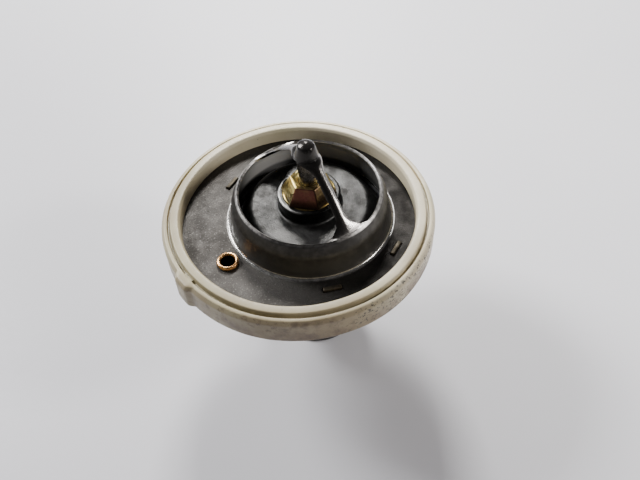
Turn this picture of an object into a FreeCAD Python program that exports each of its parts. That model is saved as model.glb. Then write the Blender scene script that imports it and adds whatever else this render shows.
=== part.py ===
import FreeCAD, Part
import math
import os
import re

import Sketcher

# Flange-type wax thermostat. Units are millimetres. The origin is on the gasket's axis, at the
# height of the bypass disc's foot. +Z points up along the axis, towards the bridge. The valve, the
# bridge and the wax element share a second axis, the valve axis, beside the gasket's axis.
# Heights in the list below are counted from the flange's top face, which stands stand_z above the
# foot. Each sub-part is drawn about its own axis and carried there by its Placement.

os.makedirs("parts", exist_ok=True)
doc = FreeCAD.newDocument("thermostat")
V = FreeCAD.Vector

DIMENSIONS = [
    # position of the valve axis and direction of the bridge
    ("axis_x", 2.7), ("axis_y", 0.7), ("bridge_angle", 118.0), ("stand_z", 36.0),
    # flange and collar
    ("sheet", 1.0), ("flange_r", 28.0), ("seat_r", 17.3), ("collar_base_r", 18.3),
    ("collar_rim_r", 15.7), ("collar_rim_z", 8.0), ("base_fillet_r", 0.8), ("cut_extra", 0.1),
    # bridge: a strap from rim to rim with a cap over the piston in its middle
    ("crown_foot_r", 15.55), ("crown_foot_z", 8.45), ("crown_mid_r", 10.0), ("crown_mid_z", 13.7),
    ("bridge_top_r", 3.6), ("bridge_top_z", 18.7), ("bridge_under_r", 3.1), ("bridge_under_z", 17.7),
    ("crown_under_r", 9.4), ("crown_under_z", 12.9),
    ("cap_r", 2.85), ("cap_z", 21.8), ("cap_round_r", 1.5), ("pad_half_w", 2.95),
    ("pad_half_len", 1.6), ("pad_end_x", 3.4), ("strap_half_w", 1.25), ("root_start_x", 11.8),
    ("root_low_x", 13.4), ("root_low_w", 1.9), ("root_high_x", 14.3), ("root_high_w", 3.4),
    ("root_end_x", 14.75), ("root_half_w", 5.4), ("strap_clear", 19.0),
    # slots in the flange for the tabs of the lower frame
    ("tab_r", 21.0), ("tab_len", 3.9), ("tab_rise", 0.8), ("tab_root", 1.5), ("tab_half_angle", 23.9),
    ("leg_angle", 121.9), ("slot_gap", 0.15),
    # rim gasket
    ("gasket_r", 30.0), ("lip_in_r", 25.7), ("lip_in_z", 2.4), ("lip_edge", 0.5), ("lip_z", 3.6),
    ("lip_out_r", 28.0), ("lip_round", 0.3), ("groove_in_r", 28.1), ("groove_out_r", 28.6),
    ("groove_z", 2.3), ("rim_in_r", 28.65), ("rim_z", 3.0), ("rim_edge", 0.8), ("rim_round_r", 0.25),
    ("rim_round_z", 0.3), ("key_angle", -145.5), ("key_len", 4.6), ("key_proud", 0.9),
    ("key_root", 2.0), ("key_depth", 6.0),
    # lower frame
    ("cage_r", 21.5), ("cage_knee_z", -10.0), ("cage_knee_step", 0.3), ("cage_foot_r", 13.5),
    ("cage_foot_step", 0.5), ("cage_foot_z", -24.6), ("cage_hole_r", 8.1), ("leg_half_w", 10.7),
    # main valve and its seal
    ("neck_bore_r", 5.7), ("neck_r", 6.8), ("neck_z", 7.5), ("neck_edge_r", 0.25),
    ("neck_fillet_r", 0.5), ("plateau_r", 13.15), ("plateau_z", 4.2), ("plateau_fillet_r", 1.2),
    ("valve_sheet", 0.8), ("flank_step", 0.5), ("flank_r", 16.9), ("valve_rim_r", 18.5),
    ("valve_rim_z", -1.9), ("seal_out_r", 18.4), ("seal_z", -1.2), ("seal_edge", 0.25),
    ("seal_in_r", 17.3), ("seal_foot_z", -1.7),
    # piston
    ("piston_r", 2.1), ("piston_top_z", 20.6), ("piston_tip_z", -13.6), ("piston_tip_len", 1.6),
    ("piston_tip_r", 1.1), ("run_gap", 0.05),
    # guide with its six-sided nose, packing and sleeve
    ("nose_turn", 45.0), ("nose_foot_r", 6.15), ("nose_edge_z", 8.0), ("nose_top_r", 4.0),
    ("nose_top_z", 11.6), ("guide_flange_r", 7.3), ("guide_flange_z", -4.4), ("guide_base_z", -6.0),
    ("ring_groove_r", 5.2), ("ring_groove_z", 3.3), ("ring_r", 7.2), ("ring_t", 0.7),
    ("ring_opening", 4.0), ("packing_r", 3.4), ("packing_top_z", 2.4), ("packing_mid_z", 1.2),
    ("packing_low_z", -2.0), ("sleeve_r", 3.6), ("sleeve_flange_z", -7.0), ("sleeve_bore_z", -14.2),
    ("sleeve_end_z", -16.0), ("sleeve_nose", 1.2),
    # wax case and wax
    ("case_r", 7.5), ("case_wall", 0.8), ("case_end_z", -27.0), ("case_bead_r", 8.2),
    ("case_bead_low_z", -8.2), ("case_bead_step", 0.7), ("case_bead_edge", 0.5),
    ("case_lip_r", 6.2), ("case_lip_z", -3.6),
    # bypass valve
    ("stem_r", 2.4), ("stem_end_z", -34.9), ("stem_edge", 0.4), ("stem_foot_r", 4.0),
    ("stem_foot_t", 0.6), ("clip_groove_r", 1.9), ("clip_top_z", -33.2), ("clip_t", 0.6),
    ("clip_r", 4.0), ("clip_opening", 3.8), ("plate_r", 6.6), ("plate_t", 0.6), ("plate_lip", 0.5),
    ("disc_r", 10.8), ("disc_flat_r", 8.2), ("disc_z", -36.0), ("disc_t", 0.7), ("disc_step", 0.3),
    ("disc_hub_r", 6.0), ("disc_hub_z", -33.1), ("disc_collar_r", 3.2), ("disc_collar_z", -31.9),
    # springs
    ("main_wire_r", 0.95), ("main_coil_r", 10.6), ("main_turns", 6.5),
    ("bypass_wire_r", 0.3), ("bypass_coil_r", 5.0), ("bypass_turns", 3.5), ("end_gap", 0.12),
    # jiggle pin
    ("jiggle_x", -15.7), ("jiggle_y", -11.0), ("jiggle_hole_r", 2.05), ("jiggle_shank_r", 1.9),
    ("jiggle_rest_gap", 0.05), ("jiggle_flare_foot_r", 2.29), ("jiggle_flare_r", 2.44),
    ("jiggle_flare_z", 0.45), ("jiggle_brow_r", 2.24), ("jiggle_brow_z", 0.85),
    ("jiggle_top_r", 1.89), ("jiggle_top_z", 1.0), ("jiggle_mouth_r", 1.6), ("jiggle_mouth_z", 0.75),
    ("jiggle_bore_r", 1.5), ("jiggle_bore_z", 0.4), ("jiggle_head_r", 3.0), ("jiggle_head_z", -2.4),
    ("jiggle_head_t", 1.3), ("jiggle_head_edge", 0.3),
]

sheet = doc.addObject("Spreadsheet::Sheet", "Dims")
for row, (alias, value) in enumerate(DIMENSIONS, start=1):
    cell = f"A{row}"
    sheet.set(cell, str(value))
    sheet.setAlias(cell, alias)
doc.recompute()


def size(alias):
    """Value of one driving dimension."""
    return float(sheet.get(alias))


def bound(text):
    """Expression with every dimension name pointed at the sheet."""
    aliases = {alias for alias, _ in DIMENSIONS}
    return re.sub(r"[a-z_]+", lambda word: ("Dims." if word[0] in aliases else "") + word[0], text)


def origin_plane(body, role):
    return next(item for item in body.Origin.OriginFeatures if item.Role == role)


def new_body(label, at=("0", "0"), turn=None):
    """Body carried to a point of the flange's top face, turned about Z."""
    body = doc.addObject("PartDesign::Body", label)
    body.Label = label
    if turn:
        body.Placement = FreeCAD.Placement(V(0, 0, 0), FreeCAD.Rotation(V(0, 0, 1), size(turn)))
        body.setExpression("Placement.Rotation.Angle", bound(turn))
    body.setExpression("Placement.Base.x", bound(at[0]))
    body.setExpression("Placement.Base.y", bound(at[1]))
    body.setExpression("Placement.Base.z", bound("stand_z"))
    return body


def new_sketch(body, name, role, height="0"):
    sketch = body.newObject("Sketcher::SketchObject", name)
    sketch.AttachmentSupport = [(origin_plane(body, role), "")]
    sketch.MapMode = "FlatFace"
    sketch.setExpression("AttachmentOffset.Base.z", bound(height))
    return sketch


def pin_point(sketch, edge, vertex, x, y):
    """Tie one vertex of a sketch to the two expressions of its position."""
    if x == "0":
        sketch.addConstraint(Sketcher.Constraint("PointOnObject", edge, vertex, -2))
    else:
        index = sketch.addConstraint(Sketcher.Constraint("DistanceX", -1, 1, edge, vertex, 1.0))
        sketch.setExpression(f"Constraints[{index}]", bound(x))
    if y == "0":
        sketch.addConstraint(Sketcher.Constraint("PointOnObject", edge, vertex, -1))
    else:
        index = sketch.addConstraint(Sketcher.Constraint("DistanceY", -1, 1, edge, vertex, 1.0))
        sketch.setExpression(f"Constraints[{index}]", bound(y))


def value_of(text):
    """Number that a dimension expression stands for."""
    probe = doc.addObject("App::FeaturePython", "probe")
    probe.addProperty("App::PropertyFloat", "Number")
    probe.setExpression("Number", bound(text))
    probe.recompute()
    number = probe.Number
    doc.removeObject(probe.Name)
    return number


def draw_outline(sketch, points):
    """Closed outline through points given as pairs of expressions."""
    start = [V(value_of(x), value_of(y), 0) for x, y in points]
    count = len(points)
    first = sketch.GeometryCount
    for index in range(count):
        line = Part.LineSegment(start[index], start[(index + 1) % count])
        sketch.addGeometry(line, False)
    for index in range(count):
        here = first + index
        following = first + (index + 1) % count
        sketch.addConstraint(Sketcher.Constraint("Coincident", here, 2, following, 1))
    for index, (x, y) in enumerate(points):
        pin_point(sketch, first + index, 1, x, y)


def tangent_box(angle, radius, depth, width):
    """Corners of a box centred at a radius and an angle, with its width across the radius."""
    c = f"cos(({angle}) * 1 deg)"
    s = f"sin(({angle}) * 1 deg)"
    corners = []
    for out, across in (("-", "-"), ("+", "-"), ("+", "+"), ("-", "+")):
        reach = f"({radius} {out} ({depth}) / 2)"
        offset = f"({across}({width}) / 2)"
        corners.append((f"{reach} * {c} - {offset} * {s}", f"{reach} * {s} + {offset} * {c}"))
    return corners


def draw_circle(sketch, x, y, radius):
    """Circle whose centre and radius follow expressions."""
    centre = V(value_of(x), value_of(y), 0)
    edge = sketch.addGeometry(Part.Circle(centre, V(0, 0, 1), value_of(radius)), False)
    pin_point(sketch, edge, 3, x, y)
    index = sketch.addConstraint(Sketcher.Constraint("Radius", edge, value_of(radius)))
    sketch.setExpression(f"Constraints[{index}]", bound(radius))


def revolve(body, name, points):
    """Solid of revolution about the body's Z axis from an outline of (radius, height) pairs."""
    sketch = new_sketch(body, name + "_outline", "XZ_Plane")
    draw_outline(sketch, points)
    feature = body.newObject("PartDesign::Revolution", name)
    feature.Profile = sketch
    feature.ReferenceAxis = (sketch, ["V_Axis"])
    feature.Angle = 360.0
    doc.recompute()
    return feature


def prism(body, kind, name, sketch, length, reverse=False, midplane=False):
    """Pad or pocket of one sketch."""
    feature = body.newObject("PartDesign::" + kind, name)
    feature.Profile = sketch
    feature.setExpression("Length", bound(length))
    feature.Reversed = reverse
    feature.Midplane = midplane
    doc.recompute()
    return feature


def ring_edges(shape, radius, height, slack=0.02):
    """Names of the circular edges of one radius at one height."""
    names = []
    for index, edge in enumerate(shape.Edges, start=1):
        if not isinstance(edge.Curve, Part.Circle):
            continue
        same_radius = abs(edge.Curve.Radius - radius) < slack
        same_height = abs(edge.Curve.Center.z - height) < slack
        if same_radius and same_height:
            names.append(f"Edge{index}")
    return names


def round_rings(body, name, rings, radius):
    """Fillet the circular edges named by (radius, height) pairs."""
    base = body.Tip
    names = []
    for ring_radius, height in rings:
        names += ring_edges(base.Shape, value_of(ring_radius), value_of(height))
    if not names:
        raise ValueError("no edge to round in " + name)
    feature = body.newObject("PartDesign::Fillet", name)
    feature.Base = (base, names)
    feature.setExpression("Radius", bound(radius))
    doc.recompute()
    return feature


ON_VALVE_AXIS = ("axis_x", "axis_y")

# --- flange, collar and bridge -----------------------------------------------------------------
# The body is turned so that the bridge runs along its own X axis.
flange = new_body("flange_bridge", ON_VALVE_AXIS, "bridge_angle")
GASKET_AXIS_X = "-(axis_x * cos(bridge_angle * 1 deg) + axis_y * sin(bridge_angle * 1 deg))"
GASKET_AXIS_Y = "axis_x * sin(bridge_angle * 1 deg) - axis_y * cos(bridge_angle * 1 deg)"
disc_plan = new_sketch(flange, "flange_plan", "XY_Plane")
draw_circle(disc_plan, GASKET_AXIS_X, GASKET_AXIS_Y, "flange_r")
draw_circle(disc_plan, "0", "0", "seat_r")
prism(flange, "Pad", "flange_disc", disc_plan, "sheet", reverse=True)

# Collar and a closed crown over it, as drawn, with a hollow cap that takes the piston's end.
revolve(flange, "drawn_crown", [
    ("seat_r", "-sheet"),
    ("collar_base_r", "-sheet"),
    ("collar_base_r", "0"),
    ("crown_foot_r", "crown_foot_z"),
    ("crown_mid_r", "crown_mid_z"),
    ("bridge_top_r", "bridge_top_z"),
    ("cap_r", "bridge_top_z"),
    ("cap_r", "cap_z"),
    ("0", "cap_z"),
    ("0", "piston_top_z"),
    ("piston_r", "piston_top_z"),
    ("piston_r", "bridge_under_z"),
    ("bridge_under_r", "bridge_under_z"),
    ("crown_under_r", "crown_under_z"),
    ("collar_rim_r - sheet", "collar_rim_z"),
    ("seat_r", "0"),
])

# Two windows pierced through the crown leave the bridge strap standing on the collar. The strap
# is narrow, widens round the cap, and flares out where it meets the collar's rim.
STRAP_EDGE = [
    ("pad_half_len", "pad_half_w"),
    ("pad_end_x", "strap_half_w"),
    ("root_start_x", "strap_half_w"),
    ("root_low_x", "root_low_w"),
    ("root_high_x", "root_high_w"),
    ("root_end_x", "root_half_w"),
    ("strap_clear", "root_half_w"),
    ("strap_clear", "strap_clear"),
]
windows = new_sketch(flange, "window_plan", "XY_Plane", "collar_rim_z")
for side in ("", "-"):
    ahead = [(x, side + y) for x, y in STRAP_EDGE]
    behind = [("-" + x, side + y) for x, y in reversed(STRAP_EDGE)]
    draw_outline(windows, ahead + behind)
prism(flange, "Pocket", "windows", windows, "cap_z", reverse=True)
round_rings(flange, "base_fillet", [("collar_base_r", "0")], "base_fillet_r")
round_rings(flange, "cap_fillet", [("cap_r", "cap_z")], "cap_round_r")

# Hole for the jiggle pin and slots for the tabs of the lower frame.
SHIFT_X = "(jiggle_x - axis_x)"
SHIFT_Y = "(jiggle_y - axis_y)"
JIGGLE_LOCAL_X = f"{SHIFT_X} * cos(bridge_angle * 1 deg) + {SHIFT_Y} * sin(bridge_angle * 1 deg)"
JIGGLE_LOCAL_Y = f"{SHIFT_Y} * cos(bridge_angle * 1 deg) - {SHIFT_X} * sin(bridge_angle * 1 deg)"
TAB_SIDES = ("+ tab_half_angle", "- tab_half_angle", "+ 180 + tab_half_angle", "+ 180 - tab_half_angle")
openings = new_sketch(flange, "hole_plan", "XY_Plane")
draw_circle(openings, JIGGLE_LOCAL_X, JIGGLE_LOCAL_Y, "jiggle_hole_r")
for turn in TAB_SIDES:
    slot = tangent_box(f"leg_angle - bridge_angle {turn}", "tab_r", "sheet + 2 * slot_gap",
                       "tab_len + 2 * slot_gap")
    draw_outline(openings, slot)
prism(flange, "Pocket", "holes", openings, "sheet + cut_extra")

# --- rim gasket ---------------------------------------------------------------------------------
gasket = new_body("gasket")


def mirrored(points):
    """The same outline points on the other side of the flange, in reverse order."""
    return [(x, f"-sheet - ({y})") for x, y in reversed(points)]


TOP_SIDE = [
    ("lip_in_r", "0"),
    ("lip_in_r", "lip_in_z"),
    ("lip_in_r + lip_edge", "lip_z"),
    ("lip_out_r - lip_round", "lip_z"),
    ("lip_out_r", "lip_z - lip_round"),
    ("groove_in_r", "groove_z"),
    ("groove_out_r", "groove_z"),
    ("rim_in_r", "rim_z"),
    ("gasket_r - rim_edge", "rim_z"),
    ("gasket_r - rim_round_r", "rim_z - rim_round_z"),
    ("gasket_r", "rim_z - rim_edge"),
]
revolve(gasket, "gasket_ring", TOP_SIDE + mirrored(TOP_SIDE) + [
    ("flange_r", "-sheet"),
    ("flange_r", "0"),
])
key_plan = new_sketch(gasket, "key_plan", "XY_Plane", "rim_z")
draw_outline(key_plan, tangent_box("key_angle", "gasket_r + (key_proud - key_root) / 2",
                                   "key_proud + key_root", "key_len"))
prism(gasket, "Pad", "key_tab", key_plan, "key_depth", reverse=True)

# --- lower frame --------------------------------------------------------------------------------
cage = new_body("lower_frame", ON_VALVE_AXIS)
revolve(cage, "cage_shell", [
    ("cage_r", "-sheet"),
    ("cage_r", "cage_knee_z"),
    ("cage_foot_r", "cage_foot_z"),
    ("cage_hole_r", "cage_foot_z"),
    ("cage_hole_r", "cage_foot_z + sheet"),
    ("cage_foot_r - cage_foot_step", "cage_foot_z + sheet"),
    ("cage_r - sheet", "cage_knee_z + cage_knee_step"),
    ("cage_r - sheet", "-sheet"),
])
side_plan = new_sketch(cage, "side_plan", "XY_Plane", "-sheet")
for turn in ("+ 90", "- 90"):
    draw_outline(side_plan, tangent_box(f"leg_angle {turn}", "leg_half_w + cage_r / 2", "cage_r",
                                        "3 * cage_r"))
prism(cage, "Pocket", "side_windows", side_plan, "-cage_foot_z - 2 * sheet")
tab_plan = new_sketch(cage, "tab_plan", "XY_Plane", "-sheet - tab_root")
for turn in TAB_SIDES:
    draw_outline(tab_plan, tangent_box(f"leg_angle {turn}", "tab_r", "sheet", "tab_len"))
prism(cage, "Pad", "tabs", tab_plan, "sheet + tab_root + tab_rise")

# --- main valve and its seal --------------------------------------------------------------------
valve = new_body("main_valve", ON_VALVE_AXIS)
revolve(valve, "hat", [
    ("neck_bore_r", "neck_z"),
    ("neck_r", "neck_z"),
    ("neck_r", "plateau_z"),
    ("plateau_r", "plateau_z"),
    ("flank_r", "valve_rim_z"),
    ("valve_rim_r", "valve_rim_z"),
    ("valve_rim_r", "valve_rim_z - valve_sheet"),
    ("flank_r - flank_step", "valve_rim_z - valve_sheet"),
    ("plateau_r - flank_step", "plateau_z - valve_sheet"),
    ("neck_bore_r", "plateau_z - valve_sheet"),
])
round_rings(valve, "neck_fillet", [("neck_r", "plateau_z")], "neck_fillet_r")
round_rings(valve, "plateau_fillet", [("plateau_r", "plateau_z")], "plateau_fillet_r")
round_rings(valve, "neck_edge", [("neck_r", "neck_z")], "neck_edge_r")

seal = new_body("valve_seal", ON_VALVE_AXIS)
revolve(seal, "seal_ring", [
    ("flank_r", "valve_rim_z"),
    ("seal_out_r", "valve_rim_z"),
    ("seal_out_r", "seal_z - seal_edge"),
    ("seal_out_r - seal_edge", "seal_z"),
    ("seal_in_r", "seal_z"),
    ("flank_r", "seal_foot_z"),
])

# --- wax element: piston, guide, packing, sleeve, case and wax ----------------------------------
piston = new_body("piston", ON_VALVE_AXIS)
revolve(piston, "rod", [
    ("0", "piston_tip_z"),
    ("piston_tip_r", "piston_tip_z"),
    ("piston_r", "piston_tip_z + piston_tip_len"),
    ("piston_r", "piston_top_z"),
    ("0", "piston_top_z"),
])

guide = new_body("piston_guide", ON_VALVE_AXIS)
revolve(guide, "turned_guide", [
    ("0", "neck_z"),
    ("neck_bore_r", "neck_z"),
    ("neck_bore_r", "ring_groove_z"),
    ("ring_groove_r", "ring_groove_z"),
    ("ring_groove_r", "ring_groove_z - ring_t"),
    ("neck_bore_r", "ring_groove_z - ring_t"),
    ("neck_bore_r", "guide_flange_z"),
    ("guide_flange_r", "guide_flange_z"),
    ("guide_flange_r", "guide_base_z"),
    ("packing_r", "guide_base_z"),
    ("packing_r", "packing_top_z"),
    ("0", "packing_top_z"),
])


def six_sided(body, name, radius, height):
    """Sketch of a hexagon about the body's Z axis."""
    plan = new_sketch(body, name, "XY_Plane", height)
    corners = []
    for corner in range(6):
        turn = f"(nose_turn + {60 * corner}) * 1 deg"
        corners.append((f"{radius} * cos({turn})", f"{radius} * sin({turn})"))
    draw_outline(plan, corners)
    return plan


prism(guide, "Pad", "nose_foot", six_sided(guide, "nose_foot_plan", "nose_foot_r", "neck_z"),
      "nose_edge_z - neck_z")
nose = guide.newObject("PartDesign::AdditiveLoft", "nose")
nose.Profile = six_sided(guide, "nose_edge_plan", "nose_foot_r", "nose_edge_z")
nose.Sections = [six_sided(guide, "nose_top_plan", "nose_top_r", "nose_top_z")]
nose.Ruled = True
doc.recompute()
bore_plan = new_sketch(guide, "bore_plan", "XY_Plane", "nose_top_z")
draw_circle(bore_plan, "0", "0", "piston_r + run_gap")
prism(guide, "Pocket", "piston_bore", bore_plan, "nose_top_z - packing_top_z + cut_extra")

washer = new_body("backup_washer", ON_VALVE_AXIS)
revolve(washer, "washer_ring", [
    ("piston_r + run_gap", "packing_mid_z"),
    ("packing_r", "packing_mid_z"),
    ("packing_r", "packing_top_z"),
    ("piston_r + run_gap", "packing_top_z"),
])

packing = new_body("guide_seal", ON_VALVE_AXIS)
revolve(packing, "packing_ring", [
    ("piston_r + run_gap", "packing_low_z"),
    ("packing_r", "packing_low_z"),
    ("packing_r", "packing_mid_z"),
    ("piston_r + run_gap", "packing_mid_z"),
])

sleeve = new_body("rubber_sleeve", ON_VALVE_AXIS)
revolve(sleeve, "blind_sleeve", [
    ("piston_r + run_gap", "packing_low_z"),
    ("packing_r", "packing_low_z"),
    ("packing_r", "guide_base_z"),
    ("guide_flange_r", "guide_base_z"),
    ("guide_flange_r", "sleeve_flange_z"),
    ("sleeve_r", "sleeve_flange_z"),
    ("sleeve_r", "sleeve_end_z + sleeve_nose"),
    ("sleeve_r - sleeve_nose", "sleeve_end_z"),
    ("0", "sleeve_end_z"),
    ("0", "sleeve_bore_z"),
    ("piston_tip_r + run_gap", "sleeve_bore_z"),
    ("piston_r + run_gap", "sleeve_bore_z + piston_tip_len"),
])

case = new_body("wax_case", ON_VALVE_AXIS)
revolve(case, "drawn_cup", [
    ("0", "case_end_z"),
    ("case_r - case_wall", "case_end_z"),
    ("case_r", "case_end_z + case_wall"),
    ("case_r", "case_bead_low_z"),
    ("case_bead_r", "case_bead_low_z + case_bead_step"),
    ("case_bead_r", "case_lip_z - case_bead_edge"),
    ("case_bead_r - case_bead_edge", "case_lip_z"),
    ("case_lip_r", "case_lip_z"),
    ("case_lip_r", "guide_flange_z"),
    ("guide_flange_r", "guide_flange_z"),
    ("guide_flange_r", "sleeve_flange_z"),
    ("case_r - case_wall", "sleeve_flange_z"),
    ("case_r - case_wall", "case_end_z + case_wall"),
    ("0", "case_end_z + case_wall"),
])

wax = new_body("wax_charge", ON_VALVE_AXIS)
revolve(wax, "wax_fill", [
    ("0", "case_end_z + case_wall"),
    ("case_r - case_wall", "case_end_z + case_wall"),
    ("case_r - case_wall", "sleeve_flange_z"),
    ("sleeve_r", "sleeve_flange_z"),
    ("sleeve_r", "sleeve_end_z + sleeve_nose"),
    ("sleeve_r - sleeve_nose", "sleeve_end_z"),
    ("0", "sleeve_end_z"),
])


def split_ring(label, inner_r, outer_r, low_z, thickness, gap):
    """Flat retaining ring with one gap."""
    body = new_body(label, ON_VALVE_AXIS)
    plan = new_sketch(body, label + "_plan", "XY_Plane", low_z)
    draw_circle(plan, "0", "0", outer_r)
    draw_circle(plan, "0", "0", inner_r)
    prism(body, "Pad", label + "_ring", plan, thickness)
    cut = new_sketch(body, label + "_gap", "XY_Plane", low_z)
    draw_outline(cut, [
        ("0", f"-({gap}) / 2"),
        (f"{outer_r} + 1", f"-({gap}) / 2"),
        (f"{outer_r} + 1", f"({gap}) / 2"),
        ("0", f"({gap}) / 2"),
    ])
    prism(body, "Pocket", label + "_opening", cut, thickness, reverse=True)
    return body


split_ring("valve_snap_ring", "ring_groove_r", "ring_r", "ring_groove_z - ring_t", "ring_t",
           "ring_opening")

# --- bypass valve -------------------------------------------------------------------------------
stem = new_body("bypass_stem", ON_VALVE_AXIS)
revolve(stem, "turned_stem", [
    ("0", "case_end_z"),
    ("stem_foot_r", "case_end_z"),
    ("stem_foot_r", "case_end_z - stem_foot_t"),
    ("stem_r", "case_end_z - stem_foot_t"),
    ("stem_r", "clip_top_z"),
    ("clip_groove_r", "clip_top_z"),
    ("clip_groove_r", "clip_top_z - clip_t"),
    ("stem_r", "clip_top_z - clip_t"),
    ("stem_r", "stem_end_z + stem_edge"),
    ("stem_r - stem_edge", "stem_end_z"),
    ("0", "stem_end_z"),
])

plate = new_body("spring_plate", ON_VALVE_AXIS)
revolve(plate, "plate_ring", [
    ("stem_r", "case_end_z - stem_foot_t"),
    ("plate_r", "case_end_z - stem_foot_t"),
    ("plate_r", "case_end_z - stem_foot_t - plate_t - plate_lip"),
    ("plate_r - plate_t", "case_end_z - stem_foot_t - plate_t - plate_lip"),
    ("plate_r - plate_t", "case_end_z - stem_foot_t - plate_t"),
    ("stem_r", "case_end_z - stem_foot_t - plate_t"),
])

disc = new_body("bypass_disc", ON_VALVE_AXIS)
revolve(disc, "dished_disc", [
    ("stem_r + run_gap", "disc_hub_z"),
    ("disc_hub_r", "disc_hub_z"),
    ("disc_flat_r", "disc_z"),
    ("disc_r", "disc_z"),
    ("disc_r", "disc_z + disc_t"),
    ("disc_flat_r + disc_step", "disc_z + disc_t"),
    ("disc_hub_r + disc_step", "disc_hub_z + disc_t"),
    ("disc_collar_r", "disc_hub_z + disc_t"),
    ("disc_collar_r", "disc_collar_z"),
    ("stem_r + run_gap", "disc_collar_z"),
])

split_ring("bypass_clip", "clip_groove_r", "clip_r", "clip_top_z - clip_t", "clip_t",
           "clip_opening")

# --- jiggle pin ---------------------------------------------------------------------------------
jiggle = new_body("jiggle_pin", ("jiggle_x", "jiggle_y"))
revolve(jiggle, "hollow_rivet", [
    ("0", "jiggle_head_z - jiggle_head_t"),
    ("jiggle_head_r - jiggle_head_edge", "jiggle_head_z - jiggle_head_t"),
    ("jiggle_head_r", "jiggle_head_z - jiggle_head_t + jiggle_head_edge"),
    ("jiggle_head_r", "jiggle_head_z"),
    ("jiggle_shank_r", "jiggle_head_z"),
    ("jiggle_shank_r", "jiggle_rest_gap"),
    ("jiggle_flare_foot_r", "jiggle_rest_gap"),
    ("jiggle_flare_r", "jiggle_flare_z"),
    ("jiggle_brow_r", "jiggle_brow_z"),
    ("jiggle_top_r", "jiggle_top_z"),
    ("jiggle_mouth_r", "jiggle_mouth_z"),
    ("jiggle_bore_r", "jiggle_bore_z"),
    ("jiggle_bore_r", "jiggle_head_z"),
    ("0", "jiggle_head_z"),
])

# --- springs ------------------------------------------------------------------------------------
POINTS_PER_TURN = 16


def coil_spring(label, wire_r, coil_r, turns, low_z, high_z):
    """Coil spring with one closed turn at each end, standing on the valve axis."""
    end_pitch = 2 * wire_r + size("end_gap")
    steps = int(round(turns * POINTS_PER_TURN))
    free_pitch = (high_z - low_z - 2 * wire_r - 2 * end_pitch) / (turns - 2)
    points = []
    for step in range(steps + 1):
        turn = turns * step / steps
        closed_low = min(turn, 1.0)
        closed_high = max(turn - (turns - 1.0), 0.0)
        height = end_pitch * (closed_low + closed_high) + free_pitch * (turn - closed_low - closed_high)
        angle = 2 * math.pi * turn
        points.append(V(coil_r * math.cos(angle), coil_r * math.sin(angle), low_z + wire_r + height))
    path = Part.BSplineCurve()
    path.interpolate(points)
    spine = Part.Wire([path.toShape()])
    section = Part.Wire([Part.Circle(points[0], path.tangent(path.FirstParameter)[0], wire_r).toShape()])
    feature = doc.addObject("Part::Feature", label)
    feature.Label = label
    feature.Shape = spine.makePipeShell([section], True, True)
    place = V(size("axis_x"), size("axis_y"), size("stand_z"))
    feature.Placement = FreeCAD.Placement(place, FreeCAD.Rotation())
    return feature


main_spring = coil_spring("main_spring", size("main_wire_r"), size("main_coil_r"), size("main_turns"),
                          size("cage_foot_z") + size("sheet"), size("plateau_z") - size("valve_sheet"))
plate_low_z = size("case_end_z") - size("stem_foot_t") - size("plate_t")
bypass_spring = coil_spring("bypass_spring", size("bypass_wire_r"), size("bypass_coil_r"),
                            size("bypass_turns"), size("disc_hub_z") + size("disc_t"), plate_low_z)

# --- checks and export --------------------------------------------------------------------------
PARTS = [flange, gasket, cage, valve, seal, piston, guide, washer, packing, sleeve, case, wax]
PARTS += [doc.getObject(name) for name in ("valve_snap_ring", "bypass_clip")]
PARTS += [stem, plate, disc, jiggle, main_spring, bypass_spring]

doc.recompute()
for item in doc.Objects:
    if "Invalid" in item.State or "Error" in item.State:
        raise RuntimeError("feature in error: " + item.Label)
for item in PARTS:
    if item.Shape.isNull() or not item.Shape.isValid():
        raise RuntimeError("bad shape: " + item.Label)
    item.Shape.exportStep(f"parts/{item.Label}.step")
    box = item.Shape.BoundBox
    print(f"{item.Label:16s} {item.Shape.Volume:9.1f} mm3  z {box.ZMin:7.2f} {box.ZMax:7.2f}"
          f"  x {box.XMin:7.2f} {box.XMax:7.2f}  y {box.YMin:7.2f} {box.YMax:7.2f}")
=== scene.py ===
import math

import bmesh
import bpy
from mathutils import Matrix, Vector, noise


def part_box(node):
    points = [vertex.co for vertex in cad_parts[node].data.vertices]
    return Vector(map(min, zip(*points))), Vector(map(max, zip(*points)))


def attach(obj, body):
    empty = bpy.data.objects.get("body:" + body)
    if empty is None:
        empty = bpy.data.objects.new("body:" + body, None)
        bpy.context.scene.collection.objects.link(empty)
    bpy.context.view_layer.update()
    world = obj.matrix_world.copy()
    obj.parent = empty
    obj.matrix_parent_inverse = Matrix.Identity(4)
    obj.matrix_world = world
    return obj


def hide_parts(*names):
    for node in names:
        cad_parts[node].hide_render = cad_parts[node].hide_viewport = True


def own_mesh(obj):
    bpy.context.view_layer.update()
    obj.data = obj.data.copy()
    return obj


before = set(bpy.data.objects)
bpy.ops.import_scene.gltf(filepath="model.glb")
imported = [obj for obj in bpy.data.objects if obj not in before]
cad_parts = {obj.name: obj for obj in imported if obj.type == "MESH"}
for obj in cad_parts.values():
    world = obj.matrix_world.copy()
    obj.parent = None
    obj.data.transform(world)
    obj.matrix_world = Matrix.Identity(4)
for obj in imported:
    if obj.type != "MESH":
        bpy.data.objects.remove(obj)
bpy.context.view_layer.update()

# Lengths below are in millimetres. Heights are counted from the flange's top face, and radii from
# the valve axis, unless a comment says otherwise.
MM = 0.001
SHEET = 1.0
piston_low, piston_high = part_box("piston")
AXIS_X = (piston_low.x + piston_high.x) / 2 / MM
AXIS_Y = (piston_low.y + piston_high.y) / 2 / MM
FLANGE_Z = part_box("flange_bridge")[0].z / MM + SHEET
jiggle_low, jiggle_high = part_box("jiggle_pin")
VALVE_AXIS = (AXIS_X, AXIS_Y)
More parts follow.
